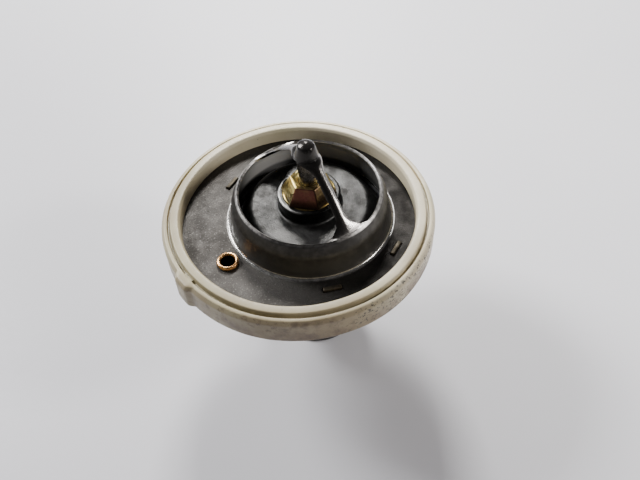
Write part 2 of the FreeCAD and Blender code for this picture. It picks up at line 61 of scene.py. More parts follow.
JIGGLE_AXIS = ((jiggle_low.x + jiggle_high.x) / 2 / MM, (jiggle_low.y + jiggle_high.y) / 2 / MM)
GASKET_AXIS = (0.0, 0.0)
BRIDGE_ANGLE = math.radians(118.0)
LEG_ANGLE = math.radians(121.9)
TAB_HALF_ANGLE = math.radians(23.9)
TAB_R = 21.0
KEY_ANGLE = math.radians(-145.5)
NOSE_TURN = math.radians(45.0)
NOSE_FOOT = 7.98


# --- materials ----------------------------------------------------------------------------------
class Shader:
    """Small helper that wires one procedural material."""

    def __init__(self, name):
        self.material = bpy.data.materials.new(name)
        self.material.use_nodes = True
        self.tree = self.material.node_tree
        self.bsdf = self.tree.nodes["Principled BSDF"]
        self.place = self.node("ShaderNodeTexCoord").outputs["Object"]

    def node(self, kind, **settings):
        made = self.tree.nodes.new(kind)
        for key, value in settings.items():
            setattr(made, key, value)
        return made

    def feed(self, socket, value):
        if isinstance(value, bpy.types.NodeSocket):
            self.tree.links.new(value, socket)
        else:
            socket.default_value = value

    def noise(self, size_mm, detail=3.0, rough=0.55, place=None):
        """Noise whose features are about size_mm across."""
        made = self.node("ShaderNodeTexNoise")
        self.feed(made.inputs["Vector"], place or self.place)
        made.inputs["Scale"].default_value = 1.0 / (size_mm * MM)
        made.inputs["Detail"].default_value = detail
        made.inputs["Roughness"].default_value = rough
        return made.outputs["Fac"]

    def math(self, operation, a, b=0.0):
        made = self.node("ShaderNodeMath", operation=operation)
        self.feed(made.inputs[0], a)
        self.feed(made.inputs[1], b)
        return made.outputs[0]

    def product(self, first, *others):
        for other in others:
            first = self.math("MULTIPLY", first, other)
        return first

    def ramp(self, value, low, high, out_low=0.0, out_high=1.0):
        """Smooth step of a value from low to high."""
        made = self.node("ShaderNodeMapRange", interpolation_type="SMOOTHSTEP")
        self.feed(made.inputs["Value"], value)
        made.inputs["From Min"].default_value = low
        made.inputs["From Max"].default_value = high
        made.inputs["To Min"].default_value = out_low
        made.inputs["To Max"].default_value = out_high
        return made.outputs["Result"]

    def span(self, length, low_mm, high_mm, out_low=0.0, out_high=1.0):
        """Smooth step of a length between two limits in millimetres."""
        return self.ramp(length, low_mm * MM, high_mm * MM, out_low, out_high)

    def level(self, z, low, high):
        """Smooth step between two heights above the flange's top."""
        return self.span(z, FLANGE_Z + low, FLANGE_Z + high)

    def mottled(self, wave, dark, light, low=0.3, high=0.7):
        """Colour that wanders from a dark to a light tone with a noise."""
        return self.mix(self.ramp(wave, low, high), dark, light)

    def along(self, x, y, to_x, to_y):
        """Distance along a level direction, x * to_x + y * to_y."""
        return self.math("ADD", self.product(x, to_x), self.product(y, to_y))

    def mix(self, amount, a, b):
        made = self.node("ShaderNodeMix", data_type="RGBA")
        self.feed(made.inputs["Factor"], amount)
        self.feed(made.inputs["A"], a if isinstance(a, bpy.types.NodeSocket) else (*a, 1.0))
        self.feed(made.inputs["B"], b if isinstance(b, bpy.types.NodeSocket) else (*b, 1.0))
        return made.outputs["Result"]

    def blend(self, amount, a, b):
        """Mix of two plain values."""
        made = self.node("ShaderNodeMix")
        self.feed(made.inputs["Factor"], amount)
        self.feed(made.inputs["A"], a)
        self.feed(made.inputs["B"], b)
        return made.outputs["Result"]

    def axis_parts(self, centre=VALVE_AXIS):
        """Radius about an axis and the X, Y and Z of the place, in metres."""
        split = self.node("ShaderNodeSeparateXYZ")
        self.feed(split.inputs[0], self.place)
        x = self.math("SUBTRACT", split.outputs["X"], centre[0] * MM)
        y = self.math("SUBTRACT", split.outputs["Y"], centre[1] * MM)
        radius = self.math("SQRT", self.along(x, y, x, y))
        return radius, x, y, split.outputs["Z"]

    def bump(self, height, depth_mm, strength, below=None):
        """Surface relief, laid over the relief below it where one is given."""
        made = self.node("ShaderNodeBump")
        made.inputs["Strength"].default_value = strength
        made.inputs["Distance"].default_value = depth_mm * MM
        self.feed(made.inputs["Height"], height)
        if below is not None:
            self.feed(made.inputs["Normal"], below)
        return made.outputs["Normal"]

    def finish(self, color, rough, metal, normal=None, **more):
        """Feed the shader's inputs and return the material."""
        self.feed(self.bsdf.inputs["Base Color"], color)
        self.feed(self.bsdf.inputs["Roughness"], rough)
        self.feed(self.bsdf.inputs["Metallic"], metal)
        if normal is not None:
            self.feed(self.bsdf.inputs["Normal"], normal)
        for key, value in more.items():
            self.feed(self.bsdf.inputs[key.replace("_", " ")], value)
        return self.material


def gasket_material():
    """Cream rubber with painted shade, brown stains, and specks low on its front."""
    s = Shader("gasket_rubber")
    radius, x, y, z = s.axis_parts(GASKET_AXIS)
    mottle = s.noise(9.0, 4.0)
    fine = s.noise(0.6, 4.0, 0.65)
    patches = s.noise(5.0, 3.0)
    wall = s.span(radius, 28.9, 29.7)
    low = s.level(z, 1.9, -2.2)
    front = s.span(y, 4.0, -20.0, 0.3, 1.0)
    # Painted light and shade: darker towards the left and front, lighter towards the right and
    # back.
    shaded_cream = s.mottled(mottle, (0.30, 0.245, 0.145), (0.38, 0.32, 0.200), 0.35)
    lit_cream = s.mottled(mottle, (0.64, 0.56, 0.39), (0.76, 0.68, 0.50), 0.35)
    across = s.along(x, y, 0.7, 0.8)
    cream = s.mix(s.span(across, -20.0, 22.0), shaded_cream, lit_cream)
    tint = s.mix(s.ramp(s.noise(14.0, 2.0), 0.45, 0.75, 0.0, 0.6), cream, (0.45, 0.41, 0.25))
    # Brown stains low on the wall, dark smears and smudges, and specks at the right in front.
    stain = s.product(wall, low, front, s.ramp(patches, 0.34, 0.62))
    brown = s.mix(s.product(stain, 0.85), tint, (0.12, 0.078, 0.048))
    smear = s.product(s.ramp(s.noise(1.6, 4.0, 0.7), 0.50, 0.66),
                      s.ramp(s.noise(8.0), 0.42, 0.6), wall, front)
    smudge = s.product(s.span(x, -9.0, -4.0), s.span(x, 8.0, 3.0), s.span(y, -20.0, -26.0),
                       wall, s.ramp(s.noise(2.6, 4.0, 0.6), 0.40, 0.68))
    smear = s.math("MAXIMUM", smear, smudge)
    brown = s.mix(s.product(smear, 0.75), brown, (0.10, 0.068, 0.045))
    # Painted shade on the front of the wall.
    brown = s.mix(s.product(wall, front, 0.22), brown, (0.16, 0.11, 0.07))
    speck_zone = s.product(s.ramp(s.noise(7.0, 2.0), 0.38, 0.52), s.span(x, 2.0, 12.0),
                           s.span(y, -7.0, -15.0), wall)
    specks = s.product(s.ramp(s.noise(0.6, 3.0, 0.65), 0.55, 0.60), speck_zone)
    # A darker yellow-brown tone in the groove, and fine dark dots all over.
    groove = s.product(s.span(radius, 27.7, 28.1), s.span(radius, 28.8, 28.5))
    groove_tone = s.product(groove, s.level(z, 1.6, 2.2), s.ramp(s.noise(2.5, 4.0), 0.35, 0.65))
    stained_and_shaded = s.mix(s.product(groove_tone, 0.55), brown, (0.22, 0.19, 0.12))
    dots = s.product(s.ramp(s.noise(0.45, 2.0), 0.70, 0.76), 0.8)
    color = s.mix(s.math("MAXIMUM", specks, dots), stained_and_shaded, (0.06, 0.05, 0.04))
    rough = s.ramp(fine, 0.3, 0.7, 0.34, 0.52)
    normal = s.bump(mottle, 0.10, 0.6)
    normal = s.bump(fine, 0.03, 0.5, normal)
    return s.finish(color, rough, 0.0, normal, IOR=1.5)


def stainless_material():
    """Dull flange, and a drawn collar and bridge with painted light, shade and highlights."""
    s = Shader("stainless")
    radius, x, y, z = s.axis_parts()
    collar = s.span(radius, 18.9, 18.4)
    mottle = s.noise(3.2, 5.0, 0.6)
    cloud = s.noise(12.0, 3.0)
    grain = s.noise(0.30, 3.0, 0.7)
    left = s.span(x, 10.0, -22.0)
    # The flat flange: dark and mottled, with pits, and with painted light and glints at the left.
    sheet = s.mottled(mottle, (0.016, 0.0145, 0.013), (0.032, 0.0295, 0.0265))
    sheet = s.mix(s.product(left, 0.8), sheet, (0.070, 0.065, 0.059))
    sheet = s.mix(s.product(s.ramp(cloud, 0.45, 0.7), 0.5), sheet, (0.022, 0.019, 0.016))
    pits = s.ramp(s.noise(0.5, 2.0), 0.66, 0.72)
    sheet = s.mix(s.product(pits, 0.6), sheet, (0.010, 0.009, 0.008))
    painted_glints = s.product(s.ramp(s.noise(0.4, 2.0, 0.6), 0.60, 0.68), left)
    sheet = s.mix(s.product(painted_glints, 0.55), sheet, (0.15, 0.142, 0.132))
    # The collar's wall, painted lighter at its foot, and its lining, painted light only at the
    # back.
    drawn = s.mottled(s.noise(2.0, 4.0), (0.050, 0.048, 0.045), (0.080, 0.077, 0.073), 0.35)
    high = s.level(z, 7.6, 9.0)
    # The collar narrows with height, and faster above its bend. Inside is what lies within that
    # taper, or under the flange.
    height = s.math("SUBTRACT", z, FLANGE_Z * MM)
    above_bend = s.math("MAXIMUM", s.math("SUBTRACT", height, 5.6 * MM), 0.0)
    taper = s.math("ADD", s.product(height, 0.17), s.product(above_bend, 0.286))
    inside = s.product(s.span(s.math("ADD", radius, taper), 17.7, 17.58), s.level(z, 8.0, 7.6))
    inside = s.math("MAXIMUM", inside, s.level(z, -0.15, -0.35))
    # Painted light: the lower wall lighter.
    drawn = s.mix(s.level(z, 6.0, 1.5), drawn, (0.125, 0.121, 0.116))
    lit_back_lining = s.mix(s.span(y, 7.0, 15.0), (0.085, 0.083, 0.078), (0.46, 0.45, 0.43))
    drawn = s.mix(inside, drawn, lit_back_lining)
    # Painted shade: the lining darker deep down.
    drawn = s.mix(s.product(inside, s.level(z, 2.4, 1.4), 0.7), drawn, (0.030, 0.029, 0.027))
    # The bridge: dull, with painted shade on its left arm and round the foot of its cap, and a
    # painted highlight on one side of the strap.
    upper = s.mix(s.span(x, -3.0, -5.0), (0.050, 0.046, 0.042), (0.030, 0.028, 0.0255))
    skirt = s.product(s.span(radius, 4.4, 3.6), s.span(radius, 1.2, 1.8))
    drawn = s.mix(high, drawn, s.mix(skirt, upper, (0.036, 0.034, 0.031)))
    across = s.along(x, y, math.sin(BRIDGE_ANGLE), -math.cos(BRIDGE_ANGLE))
    across = s.math("SUBTRACT", across, s.span(radius, 4.2, 3.2, 0.0, 1.4 * MM))
    painted_strap_highlight = s.product(s.span(across, 0.1, 0.6), high, s.span(radius, 1.8, 2.4))
    drawn = s.mix(painted_strap_highlight, drawn, (0.30, 0.285, 0.265))
    # Painted highlights along the fold at the collar's foot and the edge of its rim.
    highlight_breakup = s.ramp(s.noise(1.0, 3.0), 0.35, 0.6, 0.35, 1.0)
    fold = s.product(s.span(radius, 18.8, 18.4), s.level(z, 0.5, 0.2), s.level(z, -0.2, -0.1))
    rim = s.product(s.level(z, 7.7, 8.0), s.span(radius, 14.9, 15.1),
                    s.span(y, -10.0, -13.5, 1.0, 0.35))
    color = s.mix(collar, sheet, drawn)
    color = s.mix(s.product(rim, highlight_breakup), color, (0.34, 0.325, 0.305))
    color = s.mix(s.product(fold, highlight_breakup), color, (0.36, 0.35, 0.33))
    rough_flat = s.ramp(mottle, 0.3, 0.7, 0.62, 0.42)
    rough_drawn = s.ramp(s.noise(1.2, 4.0), 0.3, 0.75, 0.34, 0.46)
    rough_drawn = s.blend(high, rough_drawn, 0.22)
    rough_drawn = s.blend(inside, rough_drawn, 0.62)
    rough = s.blend(collar, rough_flat, s.blend(fold, rough_drawn, 0.2))
    normal = s.bump(s.noise(1.6, 3.0), 0.03, 0.6)
    grain = s.product(grain, s.ramp(collar, 0.0, 1.0, 1.0, 0.25))
    normal = s.bump(grain, 0.10, 1.0, normal)
    metal = s.blend(s.product(inside, collar), 0.9, 0.3)
    return s.finish(color, rough, metal, normal)


def worn_metal(name, dark, light, rough_low, rough_high, metal=1.0, size_mm=1.5, stain=None,
               stain_share=0.0):
    """Metal whose tone, gloss and surface wander, with optional stains."""
    s = Shader(name)
    broad = s.noise(size_mm, 4.0)
    fine = s.noise(size_mm / 6.0, 3.0, 0.65)
    color = s.mottled(broad, dark, light)
    if stain:
        blotch = s.ramp(s.noise(size_mm * 1.7, 3.0), 0.5, 0.66, 0.0, stain_share)
        color = s.mix(blotch, color, stain)
    rough = s.ramp(fine, 0.3, 0.7, rough_low, rough_high)
    return s.finish(color, rough, metal, s.bump(fine, 0.02, 0.6))


def turned_metal(name, dark, light, rough_low, rough_high, stain, stain_share, scuff_mm=0.03,
                 neck_edge=None):
    """Metal with fine rings round the valve axis, as left by spinning or turning.

    neck_edge is the radius of a neck's top edge, with a painted highlight at the left and painted
    shade elsewhere. The shoulder in front of the neck then gets painted light too.
    """
    s = Shader(name)
    radius, x, y, z = s.axis_parts()
    joined = s.node("ShaderNodeCombineXYZ")
    s.feed(joined.inputs["X"], radius)
    s.feed(joined.inputs["Y"], s.product(z, 0.7))
    rings = s.noise(0.25, 2.0, 0.6, joined.outputs["Vector"])
    scuffs = s.noise(1.1, 5.0, 0.7)
    color = s.mottled(s.noise(4.0, 3.0), dark, light)
    color = s.mix(s.product(s.ramp(rings, 0.4, 0.62), 0.35), color, light)
    blotch = s.ramp(s.noise(2.6, 4.0), 0.5, 0.68, 0.0, stain_share)
    color = s.mix(blotch, color, stain)
    if neck_edge:
        # Painted highlight on the neck's edge at the left, painted shade on it elsewhere, and
        # painted light on the shoulder in front.
        edge = s.product(s.span(radius, neck_edge, neck_edge + 0.3), s.level(z, 7.0, 7.3))
        edge_highlight_and_shade = s.mix(s.span(x, -1.0, -4.5), (0.009, 0.0088, 0.0083), (0.22, 0.216, 0.205))
        fore = s.product(s.span(y, -6.0, -9.5), s.span(radius, 13.8, 12.8), 0.7)
        color = s.mix(fore, color, (0.085, 0.083, 0.079))
        color = s.mix(edge, color, edge_highlight_and_shade)
    rough = s.ramp(scuffs, 0.3, 0.7, rough_low, rough_high)
    normal = s.bump(rings, 0.02, 0.5)
    normal = s.bump(s.noise(0.35, 4.0, 0.7), scuff_mm, 0.8, normal)
    return s.finish(color, rough, 1.0, normal)


def brass_material():
    """Tarnished brass, with painted reflection, shade and shadow on the nose's sides, foot and
    top.
    """
    s = Shader("brass")
    _, x, y, z = s.axis_parts()
    scuffs = s.noise(0.7, 4.0, 0.65)
    color = s.mottled(s.noise(2.5, 4.0), (0.50, 0.34, 0.08), (0.92, 0.76, 0.30))
    color = s.mix(s.ramp(s.noise(1.6, 4.0), 0.52, 0.66, 0.0, 0.7), color, (0.13, 0.085, 0.03))
    shrink = s.product(s.math("SUBTRACT", z, (FLANGE_Z + NOSE_FOOT) * MM), 0.52)

    def facet(degrees):
        """Where the place lies on the nose's facet that faces the given direction."""
        angle = math.radians(degrees)
        reach = s.math("ADD", s.along(x, y, math.cos(angle), math.sin(angle)), shrink)
        return s.product(s.span(reach, 5.05, 5.22), s.level(z, 7.5, 7.9))

    # Painted dark reddish reflection on the front facet and painted shade on the right-front one.
    patchy = s.ramp(s.noise(1.8, 3.0), 0.25, 0.55, 0.8, 0.97)
    color = s.mix(s.product(facet(-105.0), patchy), color, (0.27, 0.095, 0.075))
    color = s.mix(s.product(facet(-45.0), patchy), color, (0.045, 0.026, 0.016))
    # Painted shadow at the foot of the nose in front and over its top, weaker at the left.
    foot = s.product(s.level(z, 9.6, 8.2), s.span(y, -0.2, -2.2), 0.8)
    color = s.mix(foot, color, (0.06, 0.04, 0.022))
    top = s.product(s.level(z, 11.3, 11.5), s.span(x, -2.8, -1.4, 0.1, 0.85))
    color = s.mix(top, color, (0.05, 0.03, 0.018))
    return s.finish(color, s.ramp(scuffs, 0.3, 0.7, 0.26, 0.48), 1.0, s.bump(scuffs, 0.03, 0.6))


def pin_material():
    """Copper of the jiggle pin, with painted shade making its bore black."""
    s = Shader("copper")
    radius, _, _, z = s.axis_parts(JIGGLE_AXIS)
    fine = s.noise(0.2, 3.0, 0.65)
    color = s.mottled(s.noise(1.2, 4.0), (0.50, 0.24, 0.09), (0.86, 0.52, 0.22))
    color = s.mix(s.ramp(s.noise(2.0, 3.0), 0.5, 0.66, 0.0, 0.5), color, (0.25, 0.10, 0.05))
    bore_shade = s.product(s.span(radius, 1.75, 1.55), s.level(z, 0.75, 0.25))
    color = s.mix(bore_shade, color, (0.012, 0.012, 0.014))
    return s.finish(color, s.ramp(fine, 0.3, 0.7, 0.18, 0.34), 1.0, s.bump(fine, 0.02, 0.6))


def soft_material(name, dark, light, rough, size_mm=1.2):
    """Rubber, wax or plastic with a faint unevenness."""
    s = Shader(name)
    broad = s.noise(size_mm, 4.0)
    color = s.mottled(broad, dark, light)
    return s.finish(color, s.ramp(broad, 0.3, 0.7, rough, rough + 0.12), 0.0,
                    s.bump(s.noise(size_mm / 4.0), 0.02, 0.5))


def floor_material():
    """Pale table, with painted shade darker towards the lower left, and a little dust."""
    s = Shader("table_top")
    broad = s.noise(60.0, 2.0)
    fine = s.noise(1.5, 4.0)
    _, x, y, _ = s.axis_parts(GASKET_AXIS)
    # Painted shade: the table darker towards the lower left, lighter towards the upper right.
    across = s.along(x, y, 0.85, 0.5)
    color = s.mix(s.span(across, -130.0, 130.0), (0.50, 0.49, 0.51), (0.83, 0.82, 0.84))
    color = s.mix(s.ramp(broad, 0.3, 0.7, 0.0, 0.05), color, (0.60, 0.59, 0.60))
    dust = s.ramp(s.noise(0.8, 1.0), 0.80, 0.84, 0.0, 0.5)
    color = s.mix(dust, color, (0.35, 0.34, 0.33))
    return s.finish(color, s.ramp(fine, 0.3, 0.7, 0.42, 0.50), 0.0)


MATERIALS = {
    "gasket_rubber": gasket_material(),
    "stainless": stainless_material(),
    "frame_steel": worn_metal("frame_steel", (0.095, 0.089, 0.080), (0.16, 0.152, 0.140),
                              0.28, 0.46, 1.0, 2.5, (0.075, 0.052, 0.032), 0.35),
    "plate_steel": turned_metal("plate_steel", (0.075, 0.072, 0.067), (0.15, 0.145, 0.137),
                                0.26, 0.42, (0.045, 0.038, 0.030), 0.5),
    "tab_steel": worn_metal("tab_steel", (0.030, 0.025, 0.017), (0.060, 0.050, 0.034),
                            0.4, 0.62, 0.85, 0.8, (0.03, 0.02, 0.01), 0.5),
    "valve_steel": turned_metal("valve_steel", (0.018, 0.0175, 0.0165), (0.050, 0.049, 0.047),
                                0.30, 0.50, (0.011, 0.010, 0.009), 0.6, 0.07, 6.2),
    "black_rubber": soft_material("black_rubber", (0.012, 0.012, 0.012), (0.035, 0.034, 0.032),
                                  0.5),
    "piston_steel": worn_metal("piston_steel", (0.17, 0.155, 0.14), (0.27, 0.25, 0.23),
                               0.18, 0.32),
    "spring_steel": worn_metal("spring_steel", (0.14, 0.134, 0.124), (0.25, 0.243, 0.226),
                               0.22, 0.38, 1.0, 1.0, (0.10, 0.065, 0.04), 0.35),
    "brass": brass_material(),
    "copper": pin_material(),
    "case_copper": turned_metal("case_copper", (0.28, 0.145, 0.065), (0.50, 0.29, 0.145),
                                0.25, 0.45, (0.11, 0.055, 0.035), 0.6),
    "wax": soft_material("wax", (0.42, 0.24, 0.10), (0.62, 0.42, 0.22), 0.5, 0.5),
    "ptfe": soft_material("ptfe", (0.78, 0.78, 0.76), (0.90, 0.90, 0.88), 0.35),
}


# --- meshes -------------------------------------------------------------------------------------
def finish_piece(piece, body, material, nodes=(), smooth_angle=32.0):
    """Give a piece its material, its smooth shading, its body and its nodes."""
    piece.data.materials.clear()
    piece.data.materials.append(MATERIALS[material])
    piece.data.shade_smooth()
    piece.data.set_sharp_from_angle(angle=math.radians(smooth_angle))
    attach(piece, body)
    if nodes:
        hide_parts(*nodes)


def new_piece(name, points, faces):
    """Mesh object from points in millimetres; heights are counted from the flange's top."""
    mesh = bpy.data.meshes.new(name)
    mesh.from_pydata([(x * MM, y * MM, (z + FLANGE_Z) * MM) for x, y, z in points], [], faces)
    work = bmesh.new()
    work.from_mesh(mesh)
    bmesh.ops.remove_doubles(work, verts=work.verts, dist=0.002 * MM)
    bmesh.ops.dissolve_degenerate(work, edges=work.edges, dist=0.001 * MM)
    bmesh.ops.recalc_face_normals(work, faces=work.faces)
    work.to_mesh(mesh)
    work.free()
    piece = bpy.data.objects.new(name, mesh)
    bpy.context.scene.collection.objects.link(piece)
    return piece


def rounded(points, closed=True, steps=4):
    """Outline with its corners rounded; a point is (r, z) or (r, z, corner radius)."""
    nearly_straight = math.radians(178)
    out = []
    count = len(points)
    for index, point in enumerate(points):
        here = Vector(point[:2])
        before = Vector(points[index - 1][:2]) - here
        after = Vector(points[(index + 1) % count][:2]) - here
        angle = before.angle(after)
        end = not closed and index in (0, count - 1)
        if len(point) < 3 or end or angle > nearly_straight:
            out.append((here.x, here.y))
            continue
        reach = min(point[2] / math.tan(angle / 2), before.length * 0.49, after.length * 0.49)
        radius = reach * math.tan(angle / 2)
        a, b = before.normalized(), after.normalized()
        middle = here + (a + b).normalized() * (radius / math.sin(angle / 2))
        start, end = here + a * reach - middle, here + b * reach - middle
        turn = start.angle_signed(end)
        for step in range(steps + 1):
            arm = start.copy()
            arm.rotate(Matrix.Rotation(-turn * step / steps, 2))
            out.append((middle.x + arm.x, middle.y + arm.y))
    return out


def around(centre, angle, radius, *height):
    """Place at an angle and a radius about an axis, with its height where one is given."""
    return (centre[0] + radius * math.cos(angle), centre[1] + radius * math.sin(angle), *height)


def tube_faces(sections, count, closed=False):
    """Faces between successive ring-shaped sections of count points each."""
    faces = []
    for here in range(sections if closed else sections - 1):
        after = (here + 1) % sections
        for row in range(count):
            up = (row + 1) % count
            faces.append((here * count + row, after * count + row, after * count + up,
                          here * count + up))
    if not closed:
        faces.append(tuple(range(count)))
        faces.append(tuple(range((sections - 1) * count, sections * count)))
    return faces


def strip_faces(first, second, closed=False):
    """Faces between two rows of point numbers."""
    count = len(first)
    return [(first[here], first[(here + 1) % count], second[(here + 1) % count], second[here])
            for here in range(count if closed else count - 1)]


def lathe_points(profile, centre, steps, warp=None):
    """Points and faces of a profile turned about an axis, each point moved by the warp."""
    points = []
    for step in range(steps):
        angle = 2 * math.pi * step / steps
        for r, z in profile:
            points.append(around(centre, angle, *(warp(angle, r, z) if warp else (r, z))))
    return points, tube_faces(steps, len(profile), True)


def lathe(name, body, material, outline, centre=VALVE_AXIS, steps=160, warp=None,
          arc_steps=4):
    """Turned piece from a closed outline of (radius, height, corner radius)."""
    points, faces = lathe_points(rounded(outline, True, arc_steps), centre, steps, warp)
    finish_piece(new_piece(name, points, faces), body, material, [name])


def soften(piece, width, segments=3, angle=30.0):
    """Bevel for the edges of a piece that turn by more than an angle in degrees."""
    soft = piece.modifiers.new("edge", "BEVEL")
    soft.width = width * MM
    soft.segments = segments
    soft.limit_method = "ANGLE"
    soft.angle_limit = math.radians(angle)


def thicken(piece):
    """Give a surface the thickness of the sheet, on the side away from its normals."""
    solid = piece.modifiers.new("sheet", "SOLIDIFY")
    solid.thickness = SHEET * MM
    solid.offset = -1.0
    solid.use_even_offset = True
    return solid


def bake(piece, *helpers):
    """Replace a piece's mesh with what its modifiers make of it, and drop the helpers."""
    bpy.context.view_layer.update()
    seen = piece.evaluated_get(bpy.context.evaluated_depsgraph_get())
    shape = bpy.data.meshes.new_from_object(seen)
    piece.modifiers.clear()
    piece.data = shape
    for helper in helpers:
        bpy.data.objects.remove(helper)


def box_piece(name, centre, angle, depth, width, low, high):
    """Upright box with its depth along the direction of angle."""
    c, s = math.cos(angle), math.sin(angle)
    points = []
    for z in (low, high):
        for out, across in ((-1, -1), (1, -1), (1, 1), (-1, 1)):
            u, v = out * depth / 2, across * width / 2
            points.append((centre[0] + u * c - v * s, centre[1] + u * s + v * c, z))
    faces = [(0, 3, 2, 1), (4, 5, 6, 7), (0, 1, 5, 4), (1, 2, 6, 5), (2, 3, 7, 6), (3, 0, 4, 7)]
    return new_piece(name, points, faces)


def smooth_step(low, high, value):
    """Share of the way from low to high, eased at both ends."""
    share = min(1.0, max(0.0, (value - low) / (high - low)))
    return share * share * (3 - 2 * share)


# --- rim gasket ---------------------------------------------------------------------------------
KEY_HALF = math.radians(4.4)
KEY_EDGE = math.radians(1.6)
KEY_PROUD, KEY_RISE = 0.9, 0.12
WALL_R = 28.75
GROOVE_R = 27.99
GROOVE_LOW, GROOVE_HIGH = 0.5, 2.9
FILL_TOP = 2.85
LIP_R = 25.9


def gasket_warp(angle, r, z):
    """Key tab, filled groove beside it, and the slight unevenness of moulded rubber."""
    away = abs((angle - KEY_ANGLE + math.pi) % (2 * math.pi) - math.pi)
    key = smooth_step(KEY_HALF + KEY_EDGE, KEY_HALF - KEY_EDGE, away)
    if r > WALL_R:
        r += KEY_PROUD * key * smooth_step(WALL_R, 29.6, r) * smooth_step(-4.6, -3.4, z)
        z += KEY_RISE * key * smooth_step(1.5, 3.0, z)
    elif r > GROOVE_R and GROOVE_LOW < z < GROOVE_HIGH:
        z += (FILL_TOP - z) * smooth_step(KEY_HALF * 0.75, KEY_HALF * 0.55, away)
    if r > LIP_R:
        x, y = math.cos(angle), math.sin(angle)
        r += 0.10 * noise.noise(Vector((x * 2.2, y * 2.2, 0.3)))
        z += 0.08 * noise.noise(Vector((x * 3.1, y * 3.1, 4.0)))
    return r, z


# The radii of the gasket are counted from its own axis.
GASKET_OUTLINE = [
    (25.75, 0.02, 0.1), (25.80, 2.9, 0.5), (26.15, 3.6, 0.45), (27.85, 3.6, 0.30), (28.0, 2.9),
    (28.02, 2.25, 0.2), (28.58, 2.25, 0.2), (28.62, 3.05, 0.16), (29.35, 3.0, 0.5),
    (29.98, 2.1, 0.9), (29.98, -3.1, 0.9), (29.35, -4.0, 0.5), (28.62, -4.05, 0.16),
    (28.58, -3.25, 0.2), (28.02, -3.25, 0.2), (28.0, -3.9), (27.85, -4.6, 0.30),
    (26.15, -4.6, 0.45), (25.80, -3.9, 0.5), (25.75, -1.02, 0.1), (28.0, -1.02), (28.0, 0.02),
]
lathe("gasket", "frame", "gasket_rubber", GASKET_OUTLINE, GASKET_AXIS, 720,
      gasket_warp, 5)


# --- flange, collar and bridge ------------------------------------------------------------------
STEPS_ROUND = 320
STEP = 2 * math.pi / STEPS_ROUND
FLANGE_R = 27.95
FLANGE_ROWS = 10
ROOT_STEPS = 18
BRIDGE_ROWS = 60
RIM_R, RIM_Z = 15.5, 8.25
ROOT_ANGLE = STEP * ROOT_STEPS
COLLAR = rounded([(21.4, 0.0), (17.95, 0.0, 0.7), (17.0, 5.6, 5.0), (16.02, 7.75, 0.7),
                  (RIM_R, RIM_Z)], False, 10)
CROWN = rounded([(RIM_R, RIM_Z), (10.0, 13.8, 20.0), (3.6, 18.75, 4.0), (0.0, 19.1)], False, 12)
STRAP_HALF_W = 1.15
PAD_HALF_W = 2.6
FLARE_START = 0.79
CAP_RISE = 2.45


def crown_height(radius):
    """Height of the drawn crown that the bridge is cut from."""
    for (r0, z0), (r1, z1) in zip(CROWN, CROWN[1:]):
        if r1 <= radius <= r0:
            return z0 + (z1 - z0) * (r0 - radius) / max(r0 - r1, 1e-9)
    return CROWN[-1][1]


def strap_half_width(share):
    """Half width of the strap, from the middle of the bridge (0) to its root (1)."""
    width = PAD_HALF_W - (PAD_HALF_W - STRAP_HALF_W) * smooth_step(0.05, 0.37, share)
    if share < FLARE_START:
        return width
    flare = (share - FLARE_START) / (1 - FLARE_START)
    reach = RIM_R * math.sin(ROOT_ANGLE) - STRAP_HALF_W
    return width + reach * (1 - math.sqrt(max(0.0, 1 - flare ** 2.5)))


def strap_drop(share, across):
    """How far the strap's rounded top falls away towards its edges."""
    bend = 0.34 * across ** 2 + 0.30 * across ** 6
    return bend * (1 - 0.75 * smooth_step(0.78, 1.0, share))


def cap_rise(distance):
    """Height of the hollow cap, drawn up out of the strap over the piston."""
    return CAP_RISE * (1 - smooth_step(1.7, 2.7, distance)) - 0.13 * min(distance, 2.0) ** 2


def ring_of(points, place):
    """Add a ring of points, given by the place at each angle, and return their numbers."""
    first = len(points)
    points.extend(place(step * STEP) for step in range(STEPS_ROUND))
    return list(range(first, len(points)))


def bridge_surface():
    """Top surface of flange, collar and bridge as points and faces, in the part's frame."""
    points, faces = [], []

    def local(angle, r, z):
        return around(VALVE_AXIS, angle + BRIDGE_ANGLE, r, z)

    def flange_place(angle, share):
        """Place between the outer edge (0), round about the gasket's axis, and the collar (1)."""
        start = Vector(local(angle, COLLAR[0][0], 0.0))
        outward = (start - Vector((AXIS_X, AXIS_Y, 0.0))).normalized()
        offset = start.dot(outward)
        reach = -offset + math.sqrt(offset ** 2 - start.length_squared + FLANGE_R ** 2)
        return tuple(start + outward * reach * (1 - share))

    rows = [ring_of(points, lambda angle: flange_place(angle, row / FLANGE_ROWS))
            for row in range(FLANGE_ROWS)]
    rows += [ring_of(points, lambda angle: local(angle, r, z)) for r, z in COLLAR]
    for lower, upper in zip(rows, rows[1:]):
        faces += strip_faces(lower, upper, True)

    rim = rows[-1]
    previous = None
    for row in range(-BRIDGE_ROWS, BRIDGE_ROWS + 1):
        # Rows crowd towards the middle and both roots, where the shape changes most.
        even = abs(row) / BRIDGE_ROWS
        share = (even ** 1.5 + 1 - (1 - even) ** 1.5) / 2
        line = []
        for step in range(-ROOT_STEPS, ROOT_STEPS + 1):
            if abs(row) == BRIDGE_ROWS:
                root = step if row > 0 else STEPS_ROUND // 2 - step
                line.append(rim[root % STEPS_ROUND])
                continue
            across = math.sin(step * STEP) / math.sin(ROOT_ANGLE)
            x = math.copysign(share, row) * RIM_R * math.cos(step * STEP)
            y = across * strap_half_width(share)
            radius = math.hypot(x, y)
            height = crown_height(radius) - strap_drop(share, across) + cap_rise(radius)
            line.append(len(points))
            points.append(local(math.atan2(y, x), radius, height))
        if previous:
            faces += strip_faces(previous, line)
        previous = line
    return points, faces


